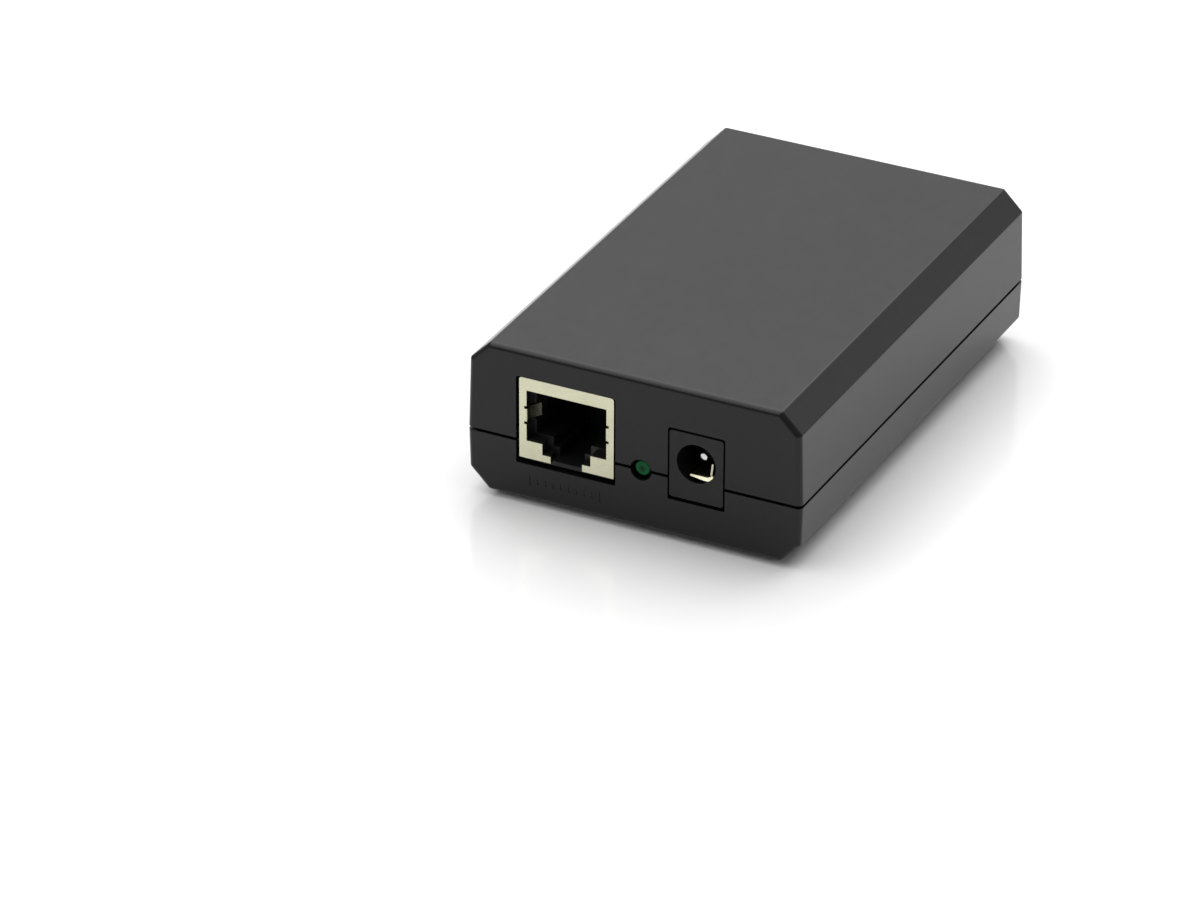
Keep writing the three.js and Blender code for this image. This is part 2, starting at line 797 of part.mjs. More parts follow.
// A chip component with its two end caps a little proud of the body.
function chipPart(width, length, height) {
  const cap = Math.min(width, length) * 0.2;
  const ends = [-1, 1].map((side) =>
    block(about(0, width), about((side * (length - cap)) / 2, cap), [CLEAR, height]),
  );
  const middle = block(about(0, width - 0.2), about(0, length - cap), [2 * CLEAR, height - CLEAR]);
  return join(middle, ...ends);
}

// A moulded diode with a tab folded under each end.
function diode(width, length, height) {
  const body = block(about(0, width), about(0, length), [0.35, height]);
  const tabs = [-1, 1].map((side) =>
    block(about(0, width * 0.6), about(side * (length / 2), 1.2), [CLEAR, height / 2]),
  );
  return join(body, ...tabs);
}

// A transistor with its heat tab soldered flat and two bent legs.
function powerSwitch() {
  const body = block(about(0, 6.5), about(0, 6.1), [0.3, 2.5]);
  const tab = block(about(0, 5.3), [2.6, 4.2], [CLEAR, 0.7]);
  const legs = [-2.28, 2.28].map((x) => block(about(x, 0.8), [-5.4, -2.8], [CLEAR, 0.9]));
  return join(body, tab, ...legs);
}

// A ferrite bobbin: two discs with a neck between them.
function chokeCore() {
  const { disc, neck, discHeight, height } = CHOKE;
  const core = turned([
    [0, CLEAR],
    [disc, CLEAR],
    [disc, discHeight],
    [neck, discHeight],
    [neck, height - discHeight],
    [disc, height - discHeight],
    [disc, height],
    [0, height],
  ]);
  return join(core, ...wireLeads(CHOKE.leads));
}

function chokeWinding() {
  const { neck, winding, discHeight, height } = CHOKE;
  const inner = neck + 0.2;
  const low = discHeight + 0.3;
  const high = height - discHeight - 0.3;
  return turned([
    [inner, low],
    [winding - 0.2, low],
    [winding, low + 0.4],
    [winding, high - 0.4],
    [winding - 0.2, high],
    [inner, high],
    [inner, low],
  ]);
}

function discCapacitor() {
  const disc = rodAlongY(3.4, 0, 4.8, about(0, 2), 20);
  return join(disc, ...wireLeads(DISC_LEADS, 3.6));
}

const CHOKE = { disc: 4.8, neck: 2.4, winding: 4.5, discHeight: 1.2, height: 7.1, leads: [-2.5, 2.5] };
const DISC_LEADS = [-2.5, 2.5];
const LARGE_CAN_LEADS = [-2.5, 2.5];
const SMALL_CAN_LEADS = [-1.75, 1.75];
const CONTROLLER = {
  width: 7.5,
  length: 10.3,
  height: 2.5,
  legs: 8,
  pitch: 1.27,
  legWidth: 0.42,
  reach: 1.4,
};
const MAGNETICS = {
  width: 12.6,
  length: 17.4,
  height: 6,
  legs: 8,
  pitch: 2,
  legWidth: 0.6,
  reach: 1.7,
};

// Every component on the board: name, place in X and Y, shape, look, and where its leads go.
const COMPONENTS = [
  ["lan_transformer", JACK.x, 0, gullWingPackage(MAGNETICS), MATERIALS.chip],
  ["bulk_capacitor_1", 18.2, -20.5, canCapacitor(5, 16, LARGE_CAN_LEADS), MATERIALS.sleeve, LARGE_CAN_LEADS],
  ["bulk_capacitor_2", 18.2, -9.5, canCapacitor(5, 16, LARGE_CAN_LEADS), MATERIALS.sleeve, LARGE_CAN_LEADS],
  ["output_capacitor", 19, 25, canCapacitor(4, 11.5, SMALL_CAN_LEADS), MATERIALS.sleeve, SMALL_CAN_LEADS],
  ["choke_core", 7, -12.5, chokeCore(), MATERIALS.ferrite, CHOKE.leads],
  ["choke_winding", 7, -12.5, chokeWinding(), MATERIALS.copper],
  ["controller_chip", 6.5, 6, gullWingPackage(CONTROLLER), MATERIALS.chip],
  ["power_switch", 18, 10, powerSwitch(), MATERIALS.chip],
  ["input_fuse", 7, -22, chipPart(2.6, 6.1, 2.6), MATERIALS.ceramic],
  ["sense_resistor", 17.5, 1, chipPart(3.2, 6.3, 0.7), MATERIALS.chip],
  ["surge_diode", 12.5, -3, diode(3.9, 4.6, 2.3), MATERIALS.chip],
  ["output_diode", 9, 17, diode(3.9, 4.6, 2.3), MATERIALS.chip],
  ["isolation_capacitor", 9, 25, discCapacitor(), MATERIALS.ceramic, DISC_LEADS],
  ["chip_capacitor_1", 0.5, -3, chipPart(1.6, 3.2, 1.6), MATERIALS.ceramic],
  ["chip_capacitor_2", 6.5, -3, chipPart(1.6, 3.2, 1.6), MATERIALS.ceramic],
  ["chip_resistor_1", 0.3, 14.5, chipPart(1.6, 3.2, 0.6), MATERIALS.chip],
  ["chip_resistor_2", 3.3, 14.5, chipPart(1.6, 3.2, 0.6), MATERIALS.chip],
];

function boardComponents() {
  const group = new THREE.Group();
  COMPONENTS.forEach(([name, x, y, shape, look]) => {
    const made = mesh(name, shape, look);
    made.position.set(x, y, 0);
    group.add(made);
  });
  return group;
}

function componentBoardHoles() {
  return COMPONENTS.flatMap(([, x, y, , , leads = []]) =>
    leads.map((lead) => uprightRod(0.5, x + lead, y, BOARD_CUT, 6)),
  );
}

// ---------------------------------------------------------------- board and assembly

// A place in the case, and a turn about Z.
function placing(x, y, z, turn = 0) {
  return new THREE.Matrix4().makeRotationZ(turn).setPosition(x, y, z);
}

const PLACES = {
  frontJack: placing(JACK.x, -END + JACK.recess, BOARD_TOP),
  rearJack: placing(JACK.x, END - JACK.recess, BOARD_TOP, Math.PI),
  powerJack: placing(POWER.x, -END, BOARD_TOP),
  light: placing(LIGHT.x, -END + LIGHT.recess, SEAM),
  components: placing(0, 0, BOARD_TOP),
};

function circuitBoard() {
  const { halfWidth, halfLength, thickness } = BOARD;
  const plate = block(
    [-halfWidth, halfWidth],
    [-halfLength, halfLength],
    [BOARD_TOP - thickness, BOARD_TOP],
  );
  const moved = (tools, place) => tools.map((tool) => tool.clone().applyMatrix4(place));
  const screwZ = [BOARD_TOP - thickness - THROUGH, BOARD_TOP + THROUGH];
  return cut(
    asSolid(plate),
    ...moved(jackBoardHoles(), PLACES.frontJack),
    ...moved(jackBoardHoles(), PLACES.rearJack),
    ...moved(powerBoardHoles(), PLACES.powerJack),
    ...moved(lightBoardHoles(), PLACES.light),
    ...moved(componentBoardHoles(), PLACES.components),
    ...atCorners(SCREW.x, SCREW.y, (x, y) => uprightRod(BOSS.clearance, x, y, screwZ)),
  );
}

function placed(group, place) {
  group.applyMatrix4(place);
  return group;
}

const injector = new THREE.Group();
injector.add(
  mesh("top_cover", topCover(), MATERIALS.caseBlack),
  mesh("bottom_cover", bottomCover(), MATERIALS.caseBlack),
  ...atCorners(SCREW.x, SCREW.y, caseScrew),
  ...atCorners(FOOT.x, FOOT.y, rubberFoot),
  mesh("circuit_board", circuitBoard(), MATERIALS.board),
  placed(networkJack("front_jack"), PLACES.frontJack),
  placed(networkJack("rear_jack"), PLACES.rearJack),
  placed(powerJack(), PLACES.powerJack),
  placed(statusLight(), PLACES.light),
  placed(boardComponents(), PLACES.components),
);

export default injector;
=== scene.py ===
"""Looks for a small black power-over-Ethernet injector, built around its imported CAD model.

Lengths are in millimetres up to the moment a mesh becomes a piece, which is in metres, as the frame is.
X runs across the case, +Y towards its rear, +Z up from the surface that it stands on.
"""

import json
import math

import bmesh
import bpy
from mathutils import Matrix, Vector

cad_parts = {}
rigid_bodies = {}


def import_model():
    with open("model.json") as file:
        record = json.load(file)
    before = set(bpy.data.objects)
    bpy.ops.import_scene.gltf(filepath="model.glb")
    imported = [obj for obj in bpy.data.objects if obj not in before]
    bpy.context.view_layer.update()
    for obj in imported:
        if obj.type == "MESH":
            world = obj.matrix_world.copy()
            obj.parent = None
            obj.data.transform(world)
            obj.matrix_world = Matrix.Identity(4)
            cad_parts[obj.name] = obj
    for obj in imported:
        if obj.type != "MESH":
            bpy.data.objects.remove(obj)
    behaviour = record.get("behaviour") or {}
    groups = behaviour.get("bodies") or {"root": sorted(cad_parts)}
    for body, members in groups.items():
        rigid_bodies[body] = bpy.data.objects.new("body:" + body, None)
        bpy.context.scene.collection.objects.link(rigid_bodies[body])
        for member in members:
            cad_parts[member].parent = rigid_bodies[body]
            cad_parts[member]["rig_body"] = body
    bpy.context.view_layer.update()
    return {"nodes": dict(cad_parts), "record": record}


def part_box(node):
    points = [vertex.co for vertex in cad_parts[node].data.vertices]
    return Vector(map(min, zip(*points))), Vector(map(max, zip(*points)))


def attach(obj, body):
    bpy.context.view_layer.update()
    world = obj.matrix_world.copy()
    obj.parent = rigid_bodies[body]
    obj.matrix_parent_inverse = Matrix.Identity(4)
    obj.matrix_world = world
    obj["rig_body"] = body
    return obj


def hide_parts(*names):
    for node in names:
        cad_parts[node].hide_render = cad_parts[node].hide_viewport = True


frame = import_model()

MM = 0.001  # metres

# The camera: where it looks from, and the point on its axis nearest the case's centre.
CAMERA_AZIMUTH = 26.46  # degrees, 0 looks along +Y
CAMERA_ELEVATION = 28.935
CAMERA_ROLL = 0.211
CAMERA_TARGET = Vector((-16.757, -18.48, -1.681))
CAMERA_DISTANCE = 985.4
CAMERA_LENS = 192.58  # on a 36 mm wide sensor

# The case's outside, as rounded from the CAD covers.
CASE_CHAMFER = 3.3
CASE_TOP_DRAFT = 0.35
CASE_BOTTOM_DRAFT = 0.2
CASE_END_RADIUS = 0.9
CASE_EDGE_RADIUS = 0.55
CASE_SKIN = 0.04  # how far the rounded skin lies inside the CAD's facets

# The studio, in metres: each light's place, the point it faces, its width and height, and its radiance.
ROOM_RADIANCE = 0.35
SOFTBOXES = [
    ("overhead", (-0.15, 0.65, 1.6), (0, 0.1, 0), (2.8, 2.4), 2.5),
    ("front_softbox", (-0.8, -1.1, 1.5), (0, 0, 0), (1.6, 1.2), 1.5),
    ("back_screen", (-1.0, 2.4, 0.8), (0, 0, 0.1), (3.2, 1.5), 0.76),
    ("side_screen", (1.6, 1.9, 0.9), (0, 0, 0.1), (1.2, 1.2), 0.7),
]

# Round features of the case, finer than the CAD's facets.
CUTOUT_RADIUS = 0.45  # the corners of the sockets' cut-outs
SEAM_EDGE_RADIUS = 0.18
LIGHT_HOLE_RADIUS = 1.735
LIGHT_HOLE_DROP = 0.08  # its centre below the lens's axis
FOOT_SEAT_RADIUS = 4.21
COUNTERBORE_RADIUS = 2.17
COUNTERBORE_RISE = 1.59  # its end above the screw's head

SCREW_HEAD_HEIGHT = 1.5
SCREW_CORE = 0.78
SCREW_THREAD = 1.0
SCREW_PITCH = 0.8
SCREW_POINT = 1.2
SCREW_HEAD_ROUNDNESS = 0.6
SCREW_SLOT = (1.0, 0.25)  # half the length and half the width of each arm of the cross
SCREW_SLOT_DEPTH = 0.8

FOLD_RADIUS = 0.45  # the network sockets' shields
DC_AXIS_BELOW_TOP = 4.95
DC_SIDE_GAP = 0.08
DC_LOWER_GAP = 0.2
DC_UPPER_GAP = 0.12
DC_BORE = 3.21
DC_BORE_DEPTH = 10.2
DC_PIN = 1.0
DC_PIN_TIP = [  # radius and distance behind the tip
    (0, 0),
    (0.4, 0.01),
    (0.56, 0.05),
    (0.62, 0.12),
    (0.68, 0.26),
    (0.85, 0.5),
    (0.95, 0.72),
    (DC_PIN, 0.98),
]
LED_RADIUS = 1.5
LED_DOME = 0.7
LENS_PAINTED_RINGS = [  # share of the lens's radius, and its colour there: the bright ring is a painted reflection of the die's cup, and the dark middle and rim are painted shade
    (0.2, (0.003, 0.040, 0.012)),
    (0.5, (0.009, 0.115, 0.036)),
    (0.68, (0.013, 0.140, 0.048)),
    (0.82, (0.001, 0.014, 0.004)),
]

CHOKE_NECK = 2.4
WIRE = 0.45
WINDING_SIDES = 72
WAVE_SCALE = 0.314  # of a wave texture whose bands are one unit apart, giving one band of painted shade for each turn of wire

# The share of its box, in X and in Y, that each component's body takes up. The rest is metal.
BODY_SHARES = {
    "lan_transformer": ((0.105, 0.895), (0, 1)),
    "controller_chip": ((0.134, 0.866), (0, 1)),
    "power_switch": ((0, 1), (0.244, 0.881)),
    "surge_diode": ((0, 1), (0.103, 0.897)),
    "output_diode": ((0, 1), (0.103, 0.897)),
    "input_fuse": ((0, 1), (0.086, 0.914)),
    "sense_resistor": ((0, 1), (0.102, 0.898)),
    "chip_capacitor_1": ((0, 1), (0.101, 0.899)),
    "chip_capacitor_2": ((0, 1), (0.101, 0.899)),
    "chip_resistor_1": ((0, 1), (0.101, 0.899)),
    "chip_resistor_2": ((0, 1), (0.101, 0.899)),
}
STRAIGHT_NODES = [
    "circuit_board",
    "dc_jack_sleeve_terminal",
    "dc_jack_switch_contact",
    "status_led_anode",
    "status_led_cathode",
]

NODE_SLOTS = {row["node"]: row["material_slot"] for row in frame["record"]["subparts"]}


# ---------------------------------------------------------------- mesh tools, in millimetres


def node_box(node):
    """The lowest and highest corner of a CAD node, in millimetres."""
    low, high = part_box(node)
    return low / MM, high / MM


def node_centre(node):
    low, high = node_box(node)
    return (low + high) / 2


def from_cad(node):
    """A CAD node's solid with its flat faces merged."""
    solid = bmesh.new()
    solid.from_mesh(frame["nodes"][node].data)
    bmesh.ops.scale(solid, vec=(1 / MM,) * 3, verts=solid.verts)
    bmesh.ops.remove_doubles(solid, verts=solid.verts, dist=1e-4)
    merge_flat(solid)
    return solid


def merge_flat(solid, degrees=0.6):
    """Joins neighbouring faces that lie in one plane."""
    bmesh.ops.dissolve_limit(
        solid,
        angle_limit=math.radians(degrees),
        verts=solid.verts,
        edges=solid.edges,
    )


def loops_solid(loops, closed=False):
    """A closed solid over loops with equally many points, capped at both ends unless they close a ring."""
    solid = bmesh.new()
    rows = [[solid.verts.new(point) for point in loop] for loop in loops]
    pairs = list(zip(rows, rows[1:]))
    if closed:
        pairs.append((rows[-1], rows[0]))
    for first, second in pairs:
        count = len(first)
        for i in range(count):
            j = (i + 1) % count
            solid.faces.new((first[i], first[j], second[j], second[i]))
    if not closed:
        solid.faces.new(rows[0])
        solid.faces.new(rows[-1])
    bmesh.ops.recalc_face_normals(solid, faces=solid.faces)
    return solid


def arc(steps, start=0.0):
    """Angles from a start to a quarter turn, in even steps."""
    return [start + (math.pi / 2 - start) * i / steps for i in range(steps + 1)]


def lathe(profile, centre, axis, sides=64):
    """A solid of revolution of (radius, distance along the axis) points, starting and ending on the axis."""
    turn = Vector((0, 0, 1)).rotation_difference(Vector(axis)).to_matrix().to_4x4()
    place = Matrix.Translation(centre) @ turn
    solid = bmesh.new()
    rings = []
    for radius, along in profile:
        if radius < 1e-6:
            rings.append([solid.verts.new(place @ Vector((0, 0, along)))])
            continue
        angles = (math.tau * i / sides for i in range(sides))
        ring = [Vector((radius * math.cos(a), radius * math.sin(a), along)) for a in angles]
        rings.append([solid.verts.new(place @ point) for point in ring])
    for first, second in zip(rings, rings[1:]):
        for i in range(sides):
            j = (i + 1) % sides
            lower = [first[i % len(first)], first[j % len(first)]]
            upper = [second[j % len(second)], second[i % len(second)]]
            corners = list(dict.fromkeys(lower + upper))
            if len(corners) > 2:
                solid.faces.new(corners)
    bmesh.ops.recalc_face_normals(solid, faces=solid.faces)
    return solid


def rod(radius, start, end, sides=64):
    """A cylinder between two points."""
    start, end = Vector(start), Vector(end)
    length = (end - start).length
    return lathe([(0, 0), (radius, 0), (radius, length), (0, length)], start, end - start, sides)


def block(low, high):
    """A box between two corners."""
    solid = bmesh.new()
    bmesh.ops.create_cube(solid, size=1)
    low, high = Vector(low), Vector(high)
    bmesh.ops.scale(solid, vec=high - low, verts=solid.verts)
    bmesh.ops.translate(solid, vec=(low + high) / 2, verts=solid.verts)
    return solid


def as_object(solid):
    """A passing object that a modifier can work on."""
    mesh = bpy.data.meshes.new("tool")
    solid.to_mesh(mesh)
    made = bpy.data.objects.new("tool", mesh)
    bpy.context.scene.collection.objects.link(made)
    return made


def combined(base, tool, operation):
    """The boolean of two solids, which are used up."""
    base_object, tool_object = as_object(base), as_object(tool)
    modifier = base_object.modifiers.new("combine", "BOOLEAN")
    modifier.operation = operation
    modifier.solver = "EXACT"
    modifier.object = tool_object
    bpy.context.view_layer.update()
    evaluated = base_object.evaluated_get(bpy.context.evaluated_depsgraph_get())
    result = bmesh.new()
    result.from_mesh(evaluated.to_mesh())
    for used in (base_object, tool_object):
        bpy.data.objects.remove(used)
    base.free()
    tool.free()
    bmesh.ops.remove_doubles(result, verts=result.verts, dist=1e-4)
    merge_flat(result)
    return result


def cut_from(base, *tools):
    """A solid less several tools."""
    for tool in tools:
        base = combined(base, tool, "DIFFERENCE")
    return base


def joined(first, *others):
    """Several separate solids in one mesh."""
    for other in others:
        mesh = bpy.data.meshes.new("joined")
        other.to_mesh(mesh)
        first.from_mesh(mesh)
        bpy.data.meshes.remove(mesh)
        other.free()
    return first


def break_edges(solid, radius, segments=2, degrees=30, chosen=None):
    """Rounds every edge sharper than an angle, or only those that chosen(edge) picks."""
    picked = [
        edge
        for edge in solid.edges
        if edge.is_manifold
        and edge.calc_face_angle() > math.radians(degrees)
        and (chosen is None or chosen(edge))
    ]
    bmesh.ops.bevel(
        solid,
        geom=picked,
        offset=radius,
        offset_type="OFFSET",
        segments=segments,
        profile=0.5,
        affect="EDGES",
        clamp_overlap=True,
    )
    return solid


def make_piece(name, solid, node, slot=None, stands_for_node=True, sharp_degrees=32):
    """A finished piece in metres that rides with a CAD node and, unless told otherwise, stands for it."""
    bmesh.ops.scale(solid, vec=(MM,) * 3, verts=solid.verts)
    for face in solid.faces:
        face.smooth = True
    for edge in solid.edges:
        if edge.is_manifold:
            edge.smooth = edge.calc_face_angle() < math.radians(sharp_degrees)
    mesh = bpy.data.meshes.new(name)
    solid.to_mesh(mesh)
    solid.free()
    piece = bpy.data.objects.new(name, mesh)
    bpy.context.scene.collection.objects.link(piece)
    weighted = piece.modifiers.new("even_shading", "WEIGHTED_NORMAL")
    weighted.keep_sharp = True
    slot = slot or NODE_SLOTS[node]
    mesh.materials.append(MATERIALS[slot])
    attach(piece, frame["nodes"][node]["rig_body"])
    if stands_for_node:
        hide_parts(node)
    return piece


def split_piece(node, low, high, rest_slot, rest_name, radius=0.05):
    """Two pieces for a node: what lies inside a box has its own finish, and the rest has another."""
    body = break_edges(combined(from_cad(node), block(low, high), "INTERSECT"), radius)
    rest = break_edges(cut_from(from_cad(node), block(low, high)), radius / 2, 1)
    make_piece(f"{node}_body", body, node)
    make_piece(f"{node}_{rest_name}", rest, node, rest_slot, stands_for_node=False)


# ---------------------------------------------------------------- materials


def new_material(name):
    """A node material, its Principled shader, and the object's own coordinates."""
    material = bpy.data.materials.new(name)
    material.use_nodes = True
    tree = material.node_tree
    shader = tree.nodes["Principled BSDF"]
    coordinates = tree.nodes.new("ShaderNodeTexCoord").outputs["Object"]
    return tree, shader, coordinates, material


def noise(tree, coordinates, grain, detail=3.0, roughness=0.55, stretch=(1, 1, 1)):
    """Noise whose features are about grain millimetres across, drawn out along an axis by stretch."""
    mapping = tree.nodes.new("ShaderNodeMapping")
    mapping.inputs["Scale"].default_value = [1 / s for s in stretch]
    tree.links.new(coordinates, mapping.inputs["Vector"])
    texture = tree.nodes.new("ShaderNodeTexNoise")
    texture.inputs["Scale"].default_value = 1 / (grain * MM)
    texture.inputs["Detail"].default_value = detail
    texture.inputs["Roughness"].default_value = roughness
    tree.links.new(mapping.outputs["Vector"], texture.inputs["Vector"])
    return texture.outputs["Fac"]


def ramp(tree, value, low, high, spread=(0.35, 0.65)):
    """Maps a noise value onto a colour ramp between two colours."""
    node = tree.nodes.new("ShaderNodeValToRGB")
    first, last = node.color_ramp.elements
    first.position, last.position = spread
    first.color = (*low, 1)
    last.color = (*high, 1)
    tree.links.new(value, node.inputs["Fac"])
    return node.outputs["Color"]


def ranged(tree, value, low, high, spread=(0.3, 0.7)):
    """Maps a noise value onto a range of numbers."""
    node = tree.nodes.new("ShaderNodeMapRange")
    node.inputs["From Min"].default_value = spread[0]
    node.inputs["From Max"].default_value = spread[1]
    node.inputs["To Min"].default_value = low
    node.inputs["To Max"].default_value = high
    tree.links.new(value, node.inputs["Value"])
    return node.outputs["Result"]


def bump(tree, shader, height, depth, strength=1.0, under=None):
    """Adds relief of a depth in millimetres to a shader, over another relief if one is given."""
    node = tree.nodes.new("ShaderNodeBump")
    node.inputs["Strength"].default_value = strength
    node.inputs["Distance"].default_value = depth * MM
    tree.links.new(height, node.inputs["Height"])
    if under is not None:
        tree.links.new(under, node.inputs["Normal"])
    tree.links.new(node.outputs["Normal"], shader.inputs["Normal"])
    return node.outputs["Normal"]


def moulded_plastic(name, dark, light, roughness, grain, relief):
    """Plastic from a textured mould: fine grain, faint flow shading and an uneven sheen."""
    tree, shader, coordinates, material = new_material(name)
    flow = noise(tree, coordinates, 9, detail=2)
    tree.links.new(ramp(tree, flow, dark, light), shader.inputs["Base Color"])
    patches = noise(tree, coordinates, 2.5, detail=4)
    tree.links.new(ranged(tree, patches, *roughness), shader.inputs["Roughness"])
    fine = bump(tree, shader, noise(tree, coordinates, grain, detail=2), relief)
    bump(tree, shader, noise(tree, coordinates, 6 * grain, detail=1), relief, 0.5, under=fine)
    shader.inputs["IOR"].default_value = 1.36
    return material


def plated_metal(name, dark, light, roughness, stretch, relief=0.002, grain=0.12):
    """Rolled and plated sheet: fine lines along the rolling direction and cloudy plating."""
    tree, shader, coordinates, material = new_material(name)
    shader.inputs["Metallic"].default_value = 1
    lines = noise(tree, coordinates, grain, detail=4, stretch=stretch)
    clouds = noise(tree, coordinates, 5, detail=2)
    tree.links.new(ramp(tree, clouds, dark, light), shader.inputs["Base Color"])
    tree.links.new(ranged(tree, lines, *roughness), shader.inputs["Roughness"])
    bump(tree, shader, lines, relief)
    return material


def led_lens():
    """Tinted green epoxy, with the die's cup seen through the dome painted on: a painted reflection as a
    bright ring, round painted shade in the middle and at the rim.
    """
    tree, shader, coordinates, material = new_material("led_lens")
    centre = node_centre("status_led") * MM
    flat = tree.nodes.new("ShaderNodeVectorMath")
    flat.operation = "MULTIPLY_ADD"
    flat.inputs[1].default_value = (1, 0, 1)
    flat.inputs[2].default_value = (-centre.x, 0, -centre.z)
    tree.links.new(coordinates, flat.inputs[0])
    span = tree.nodes.new("ShaderNodeVectorMath")
    span.operation = "LENGTH"
    tree.links.new(flat.outputs["Vector"], span.inputs[0])
    from_axis = ranged(tree, span.outputs["Value"], 0, 1, (0, LED_RADIUS * MM))
    # Painted reflection and shade: rings of colour by distance from the lens's axis stand in for the die's
    # cup seen through the dome.
    rings = tree.nodes.new("ShaderNodeValToRGB")
    stops = rings.color_ramp.elements
    stops[0].color = (0.002, 0.030, 0.009, 1)
    stops[1].color = (0.0005, 0.006, 0.002, 1)
    for position, colour in LENS_PAINTED_RINGS:
        stops.new(position).color = (*colour, 1)
    tree.links.new(from_axis, rings.inputs["Fac"])
    haze = noise(tree, coordinates, 0.5, detail=3)
    clouded = tree.nodes.new("ShaderNodeMix")
    clouded.data_type = "RGBA"
    clouded.blend_type = "MULTIPLY"
    clouded.inputs["Factor"].default_value = 0.5
    tree.links.new(rings.outputs["Color"], clouded.inputs["A"])
    tree.links.new(ramp(tree, haze, (0.6,) * 3, (1.0,) * 3), clouded.inputs["B"])
    tree.links.new(clouded.outputs["Result"], shader.inputs["Base Color"])
    tree.links.new(ranged(tree, haze, 0.2, 0.3), shader.inputs["Roughness"])
    shader.inputs["IOR"].default_value = 1.2
    bump(tree, shader, noise(tree, coordinates, 0.25), 0.003)
    return material


def board_laminate():
    """Green solder mask over copper tracks, with the glass cloth just showing through."""
    tree, shader, coordinates, material = new_material("board_laminate")
    cells = tree.nodes.new("ShaderNodeTexBrick")
    cells.inputs["Scale"].default_value = 1 / (7 * MM)
    cells.inputs["Mortar Size"].default_value = 0.06
    cells.inputs["Mortar Smooth"].default_value = 0.1
    cells.inputs["Color1"].default_value = (0.012, 0.085, 0.035, 1)
    cells.inputs["Color2"].default_value = (0.016, 0.105, 0.042, 1)
    cells.inputs["Mortar"].default_value = (0.006, 0.045, 0.02, 1)
    tree.links.new(coordinates, cells.inputs["Vector"])
    tree.links.new(cells.outputs["Color"], shader.inputs["Base Color"])
    cloth = noise(tree, coordinates, 0.4, detail=2)
    tree.links.new(ranged(tree, cloth, 0.25, 0.42), shader.inputs["Roughness"])
    track = bump(tree, shader, cells.outputs["Fac"], -0.03)
    bump(tree, shader, cloth, 0.01, 0.4, under=track)
    return material


def copper_wire():
    """Enamelled wire wound in tight turns round a vertical core, with painted shade that darkens the colour
    into the creases between turns.
    """
    tree, shader, coordinates, material = new_material("copper_wire")
    shader.inputs["Metallic"].default_value = 1
    turns = tree.nodes.new("ShaderNodeTexWave")
    turns.bands_direction = "Z"
    turns.inputs["Scale"].default_value = WAVE_SCALE / (WIRE * MM)
    turns.inputs["Distortion"].default_value = 0.6
    turns.inputs["Detail Scale"].default_value = 2
    tree.links.new(coordinates, turns.inputs["Vector"])
    # Painted shade: each turn's colour runs from dark in the creases between turns to light on its crest.
    tone = ramp(tree, turns.outputs["Fac"], (0.25, 0.09, 0.03), (0.62, 0.27, 0.10), (0.1, 0.8))
    tree.links.new(tone, shader.inputs["Base Color"])
    tree.links.new(ranged(tree, noise(tree, coordinates, 0.6), 0.18, 0.34), shader.inputs["Roughness"])
    bump(tree, shader, turns.outputs["Fac"], 0.15)
    return material


def shrink_sleeve():
    """Printed shrink sleeve on an aluminium can."""
    tree, shader, coordinates, material = new_material("can_sleeve")
    tone = noise(tree, coordinates, 3)
    tree.links.new(ramp(tree, tone, (0.012, 0.022, 0.06), (0.018, 0.034, 0.085)), shader.inputs["Base Color"])
    tree.links.new(ranged(tree, noise(tree, coordinates, 1.2), 0.22, 0.36), shader.inputs["Roughness"])
    shader.inputs["Coat Weight"].default_value = 0.3
    bump(tree, shader, noise(tree, coordinates, 0.8), 0.01)
    return material


def fired_ceramic(name, dark, light, roughness, grain):
    """A dense sintered body with a speckled surface."""
    tree, shader, coordinates, material = new_material(name)
    speckle = noise(tree, coordinates, grain, detail=5, roughness=0.7)
    tree.links.new(ramp(tree, speckle, dark, light), shader.inputs["Base Color"])
    tree.links.new(ranged(tree, speckle, *roughness), shader.inputs["Roughness"])
    bump(tree, shader, noise(tree, coordinates, grain / 2, detail=3), 0.006)
    return material


def grey(value):
    return (value, value, value)


# Moulded plastics: darkest and lightest colour, range of roughness, grain and relief in millimetres.
MOULDED = {
    "case_plastic": (grey(0.0045), grey(0.0055), (0.20, 0.25), 0.16, 0.003),
    "socket_plastic": (grey(0.006), grey(0.009), (0.34, 0.46), 0.12, 0.002),
    "foot_rubber": (grey(0.010), grey(0.016), (0.70, 0.85), 0.3, 0.01),
    "chip_epoxy": ((0.010, 0.010, 0.011), (0.016, 0.016, 0.017), (0.45, 0.6), 0.1, 0.006),
}

# Metals: darkest and lightest colour, range of roughness, and how far the lines run along each axis.
PLATED = {
    "shield_nickel": ((0.57, 0.56, 0.41), (0.61, 0.60, 0.445), (0.26, 0.34), (12, 1, 1)),
    "contact_gold": ((0.70, 0.50, 0.20), (0.86, 0.65, 0.30), (0.16, 0.30), (1, 12, 1)),
    "tinned_metal": ((0.62, 0.62, 0.60), (0.78, 0.78, 0.76), (0.14, 0.26), (1, 10, 1)),
    "screw_steel": ((0.28, 0.28, 0.29), (0.42, 0.42, 0.43), (0.28, 0.42), (1, 1, 1)),
}

# Sintered bodies: darkest and lightest colour, range of roughness, and grain in millimetres.
FIRED = {
    "ferrite": ((0.035, 0.035, 0.037), (0.06, 0.06, 0.062), (0.5, 0.7), 0.3),
    "ceramic": ((0.32, 0.20, 0.09), (0.45, 0.30, 0.15), (0.35, 0.5), 0.4),
}

MATERIALS = {
    "board_laminate": board_laminate(),
    "can_sleeve": shrink_sleeve(),
    "copper_wire": copper_wire(),
    "led_lens": led_lens(),
}
MATERIALS.update({name: moulded_plastic(name, *looks) for name, looks in MOULDED.items()})
MATERIALS.update({name: plated_metal(name, *looks) for name, looks in PLATED.items()})
MATERIALS.update({name: fired_ceramic(name, *looks) for name, looks in FIRED.items()})


# ---------------------------------------------------------------- case


